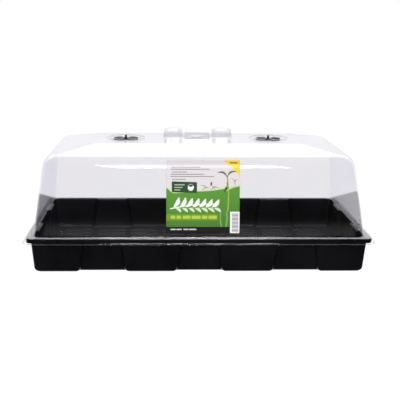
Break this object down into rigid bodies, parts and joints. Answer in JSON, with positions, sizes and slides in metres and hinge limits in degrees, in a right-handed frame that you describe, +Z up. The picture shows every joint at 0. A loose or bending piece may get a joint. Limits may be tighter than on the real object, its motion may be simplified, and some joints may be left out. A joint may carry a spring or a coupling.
{
  "type": "humidity dome tray",
  "caption": "Seed tray with recessed side walls and a ribbed floor, under a clear lift-off humidity dome with a moulded grip, rotary air vents and a front label.",
  "frame": {"origin": "on the surface the tray stands on, under the middle of the tray", "axes": "+X along the long side, towards the right as seen from the labelled front; +Z up; the labelled front faces -Y"},
  "size_m": [0.591, 0.324, 0.2255],
  "materials": {
    "tray_plastic": "black formed sheet, glossy, with fine scuffs",
    "dome_plastic": "clear formed sheet, glossy, faintly lavender at its edges",
    "vent_plastic": "black moulded plastic, satin",
    "label_print": "satin printed sheet, green and white"
  },
  "bodies": {
    "tray": {"seed_tray": "tray_plastic"},
    "dome": {"dome_lid": "dome_plastic", "front_label": "label_print"},
    "vent_left": {"vent_rotor_left": "vent_plastic"},
    "vent_right": {"vent_rotor_right": "vent_plastic"}
  },
  "joints": [
    {"name": "dome_lift", "type": "slide", "parent": "tray", "child": "dome", "axis": [0, 0, 1], "range_m": [0, 0.2]},
    {"name": "vent_left_turn", "type": "hinge", "parent": "dome", "child": "vent_left", "pos_m": [-0.1285, 0, 0.205], "axis": [0, 0, 1], "range_deg": [-45, 0]},
    {"name": "vent_right_turn", "type": "hinge", "parent": "dome", "child": "vent_right", "pos_m": [0.1285, 0, 0.205], "axis": [0, 0, 1], "range_deg": [-36, 9]}
  ]
}
